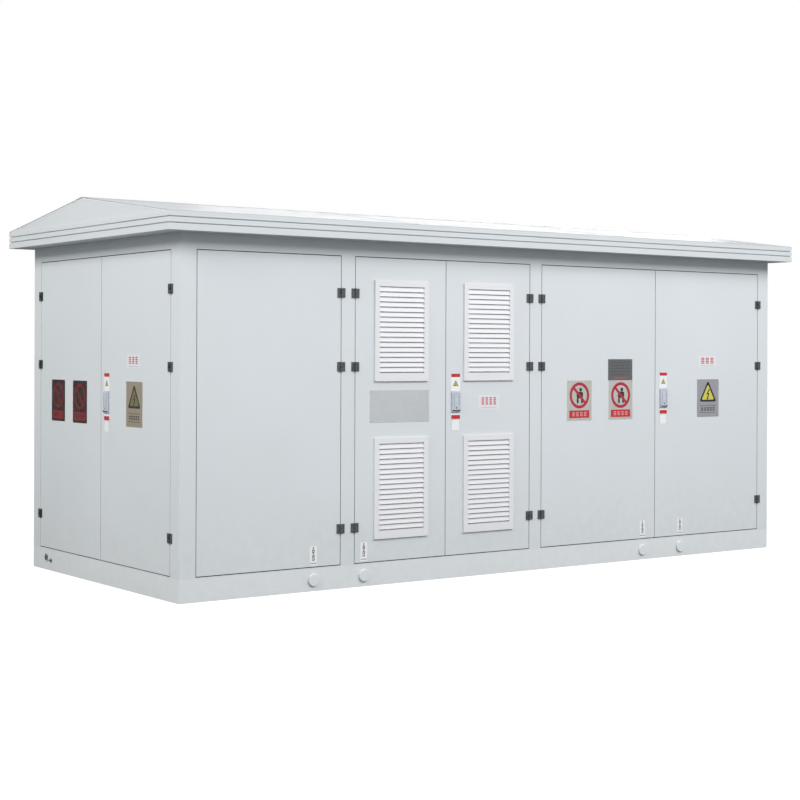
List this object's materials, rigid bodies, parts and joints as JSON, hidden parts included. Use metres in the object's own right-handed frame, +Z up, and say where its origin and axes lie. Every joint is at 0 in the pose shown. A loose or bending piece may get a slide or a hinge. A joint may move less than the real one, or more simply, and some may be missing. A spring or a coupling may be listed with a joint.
{
  "type": "pad-mounted transformer",
  "caption": "Walk-in box substation: steel enclosure with hinged doors, louvred transformer bay, low gable roof and channel base, with transformer and switchgear inside.",
  "frame": {"origin": "centre of the underside of the base frame", "axes": "+X along the long front towards its right end, -Y out of the front, +Z up"},
  "size_m": [6.121, 2.672, 2.8175],
  "materials": {
    "body_paint": "light grey polyester powder coat, satin, fine texture",
    "roof_paint": "very light grey powder coat, satin",
    "base_paint": "light grey paint over hot-rolled channel, satin",
    "louvre_paint": "near-white powder coat, satin",
    "hinge_black": "black coated zinc die-casting, satin",
    "handle_metal": "blue-grey satin metal",
    "lock_black": "black glass-filled nylon housing",
    "bright_steel": "zinc-plated steel",
    "floor_steel": "grey floor paint, scuffed",
    "galvanised": "galvanised sheet",
    "tank_paint": "mid grey tank paint, semi-gloss",
    "core_steel": "laminated electrical steel, oiled",
    "coil_copper": "varnished copper winding",
    "porcelain": "brown glazed porcelain",
    "cabinet_paint": "warm light grey cabinet enamel",
    "lever_red": "red insulated lever"
  },
  "bodies": {
    "enclosure": {"base_frame": "base_paint", "bushings": "porcelain", "eaves_fascia": "roof_paint", "fasteners": "bright_steel", "fixed_panels": "body_paint", "floor_plates": "floor_steel", "frame_hinge_leaves": "hinge_black", "gable_panels": "roof_paint", "hinge_pins": "bright_steel", "iron_core": "core_steel", "lv_switchboard": "cabinet_paint", "partition_walls": "galvanised", "rear_louvres": "louvre_paint", "ridge_cap": "roof_paint", "ring_main_unit": "cabinet_paint", "roof_sheets": "roof_paint", "roof_trusses": "galvanised", "tank_cover": "tank_paint", "transformer_tank": "tank_paint", "wall_frame": "body_paint", "windings": "coil_copper"},
    "hv_side_door": {"hv_side_door": "body_paint", "hv_side_door_hinges": "hinge_black"},
    "transformer_door_left": {"transformer_door_left": "body_paint", "transformer_door_left_hinges": "hinge_black", "door_louvres_left": "louvre_paint"},
    "transformer_door_right": {"transformer_door_right": "body_paint", "transformer_door_right_hinges": "hinge_black", "door_louvres_right": "louvre_paint", "transformer_lock_plate": "lock_black"},
    "lv_door_left": {"lv_door_left": "body_paint", "lv_door_left_hinges": "hinge_black"},
    "lv_door_right": {"lv_door_right": "body_paint", "lv_door_right_hinges": "hinge_black", "lv_lock_plate": "lock_black"},
    "hv_end_door_front": {"hv_end_door_front": "body_paint", "hv_end_door_front_hinges": "hinge_black", "hv_lock_plate": "lock_black"},
    "hv_end_door_rear": {"hv_end_door_rear": "body_paint", "hv_end_door_rear_hinges": "hinge_black"},
    "transformer_lock_handle": {"transformer_lock_handle": "handle_metal"},
    "transformer_lock_upper_rod": {"transformer_lock_upper_rod": "bright_steel"},
    "transformer_lock_lower_rod": {"transformer_lock_lower_rod": "bright_steel"},
    "lv_lock_handle": {"lv_lock_handle": "handle_metal"},
    "lv_lock_upper_rod": {"lv_lock_upper_rod": "bright_steel"},
    "lv_lock_lower_rod": {"lv_lock_lower_rod": "bright_steel"},
    "hv_lock_handle": {"hv_lock_handle": "handle_metal"},
    "hv_lock_upper_rod": {"hv_lock_upper_rod": "bright_steel"},
    "hv_lock_lower_rod": {"hv_lock_lower_rod": "bright_steel"},
    "breaker_lever": {"breaker_lever": "lever_red"},
    "hv_switch_lever": {"hv_switch_lever": "lever_red"},
    "lifting_shaft_front_inner_left": {"lifting_shaft_front_inner_left": "base_paint"},
    "lifting_shaft_front_inner_right": {"lifting_shaft_front_inner_right": "base_paint"},
    "lifting_shaft_front_outer_left": {"lifting_shaft_front_outer_left": "base_paint"},
    "lifting_shaft_front_outer_right": {"lifting_shaft_front_outer_right": "base_paint"},
    "lifting_shaft_rear_inner_left": {"lifting_shaft_rear_inner_left": "base_paint"},
    "lifting_shaft_rear_inner_right": {"lifting_shaft_rear_inner_right": "base_paint"},
    "lifting_shaft_rear_outer_left": {"lifting_shaft_rear_outer_left": "base_paint"},
    "lifting_shaft_rear_outer_right": {"lifting_shaft_rear_outer_right": "base_paint"},
    "tap_changer_handle": {"tap_changer_handle": "bright_steel"}
  },
  "joints": [
    {"name": "hv_side_door_swing", "type": "hinge", "parent": "enclosure", "child": "hv_side_door", "pos_m": [-1.5995, -1.21, 1.28], "axis": [0, 0, 1], "range_deg": [0, 90]},
    {"name": "transformer_door_left_swing", "type": "hinge", "parent": "enclosure", "child": "transformer_door_left", "pos_m": [-1.4775, -1.21, 1.28], "axis": [0, 0, -1], "range_deg": [0, 90]},
    {"name": "transformer_door_right_swing", "type": "hinge", "parent": "enclosure", "child": "transformer_door_right", "pos_m": [0.1715, -1.21, 1.28], "axis": [0, 0, 1], "range_deg": [0, 90]},
    {"name": "lv_door_left_swing", "type": "hinge", "parent": "enclosure", "child": "lv_door_left", "pos_m": [0.2935, -1.21, 1.28], "axis": [0, 0, -1], "range_deg": [0, 90]},
    {"name": "lv_door_right_swing", "type": "hinge", "parent": "enclosure", "child": "lv_door_right", "pos_m": [2.7735, -1.21, 1.28], "axis": [0, 0, 1], "range_deg": [0, 110]},
    {"name": "hv_end_door_front_swing", "type": "hinge", "parent": "enclosure", "child": "hv_end_door_front", "pos_m": [-2.9125, -1.071, 1.28], "axis": [0, 0, 1], "range_deg": [0, 110]},
    {"name": "hv_end_door_rear_swing", "type": "hinge", "parent": "enclosure", "child": "hv_end_door_rear", "pos_m": [-2.9125, 1.071, 1.28], "axis": [0, 0, -1], "range_deg": [0, 110]},
    {"name": "transformer_lock_handle_turn", "type": "hinge", "parent": "transformer_door_right", "child": "transformer_lock_handle", "pos_m": [-0.558, -1.2, 1.366], "axis": [0, -1, 0], "range_deg": [0, 90]},
    {"name": "transformer_lock_upper_rod_slide", "type": "slide", "parent": "transformer_door_right", "child": "transformer_lock_upper_rod", "axis": [0, 0, -1], "range_m": [0, 0.021]},
    {"name": "transformer_lock_lower_rod_slide", "type": "slide", "parent": "transformer_door_right", "child": "transformer_lock_lower_rod", "axis": [0, 0, 1], "range_m": [0, 0.021]},
    {"name": "lv_lock_handle_turn", "type": "hinge", "parent": "lv_door_right", "child": "lv_lock_handle", "pos_m": [1.6285, -1.2, 1.366], "axis": [0, -1, 0], "range_deg": [0, 90]},
    {"name": "lv_lock_upper_rod_slide", "type": "slide", "parent": "lv_door_right", "child": "lv_lock_upper_rod", "axis": [0, 0, -1], "range_m": [0, 0.021]},
    {"name": "lv_lock_lower_rod_slide", "type": "slide", "parent": "lv_door_right", "child": "lv_lock_lower_rod", "axis": [0, 0, 1], "range_m": [0, 0.021]},
    {"name": "hv_lock_handle_turn", "type": "hinge", "parent": "hv_end_door_front", "child": "hv_lock_handle", "pos_m": [-2.9025, -0.095, 1.366], "axis": [-1, 0, 0], "range_deg": [0, 90]},
    {"name": "hv_lock_upper_rod_slide", "type": "slide", "parent": "hv_end_door_front", "child": "hv_lock_upper_rod", "axis": [0, 0, -1], "range_m": [0, 0.021]},
    {"name": "hv_lock_lower_rod_slide", "type": "slide", "parent": "hv_end_door_front", "child": "hv_lock_lower_rod", "axis": [0, 0, 1], "range_m": [0, 0.021]},
    {"name": "lifting_shaft_front_inner_left_pull", "type": "slide", "parent": "enclosure", "child": "lifting_shaft_front_inner_left", "axis": [0, -1, 0], "range_m": [0, 0.12]},
    {"name": "lifting_shaft_front_inner_right_pull", "type": "slide", "parent": "enclosure", "child": "lifting_shaft_front_inner_right", "axis": [0, -1, 0], "range_m": [0, 0.12]},
    {"name": "lifting_shaft_front_outer_left_pull", "type": "slide", "parent": "enclosure", "child": "lifting_shaft_front_outer_left", "axis": [0, -1, 0], "range_m": [0, 0.12]},
    {"name": "lifting_shaft_front_outer_right_pull", "type": "slide", "parent": "enclosure", "child": "lifting_shaft_front_outer_right", "axis": [0, -1, 0], "range_m": [0, 0.12]},
    {"name": "lifting_shaft_rear_inner_left_pull", "type": "slide", "parent": "enclosure", "child": "lifting_shaft_rear_inner_left", "axis": [0, 1, 0], "range_m": [0, 0.12]},
    {"name": "lifting_shaft_rear_inner_right_pull", "type": "slide", "parent": "enclosure", "child": "lifting_shaft_rear_inner_right", "axis": [0, 1, 0], "range_m": [0, 0.12]},
    {"name": "lifting_shaft_rear_outer_left_pull", "type": "slide", "parent": "enclosure", "child": "lifting_shaft_rear_outer_left", "axis": [0, 1, 0], "range_m": [0, 0.12]},
    {"name": "lifting_shaft_rear_outer_right_pull", "type": "slide", "parent": "enclosure", "child": "lifting_shaft_rear_outer_right", "axis": [0, 1, 0], "range_m": [0, 0.12]},
    {"name": "tap_changer_turn", "type": "hinge", "parent": "enclosure", "child": "tap_changer_handle", "pos_m": [-0.17, 0, 1.2], "axis": [0, 0, 1], "range_deg": [0, 120]},
    {"name": "hv_switch_turn", "type": "hinge", "parent": "enclosure", "child": "hv_switch_lever", "pos_m": [-2.7, 0, 1.265], "axis": [1, 0, 0], "range_deg": [0, 90]},
    {"name": "main_breaker_turn", "type": "hinge", "parent": "enclosure", "child": "breaker_lever", "pos_m": [1.56, -0.88, 1.315], "axis": [0, 1, 0], "range_deg": [0, 90]}
  ],
  "couplings": [
    {"joint": "transformer_lock_upper_rod_slide", "follows": "transformer_lock_handle_turn", "m_per_rad": 0.012732},
    {"joint": "transformer_lock_lower_rod_slide", "follows": "transformer_lock_handle_turn", "m_per_rad": 0.012732},
    {"joint": "lv_lock_upper_rod_slide", "follows": "lv_lock_handle_turn", "m_per_rad": 0.012732},
    {"joint": "lv_lock_lower_rod_slide", "follows": "lv_lock_handle_turn", "m_per_rad": 0.012732},
    {"joint": "hv_lock_upper_rod_slide", "follows": "hv_lock_handle_turn", "m_per_rad": 0.012732},
    {"joint": "hv_lock_lower_rod_slide", "follows": "hv_lock_handle_turn", "m_per_rad": 0.012732}
  ]
}
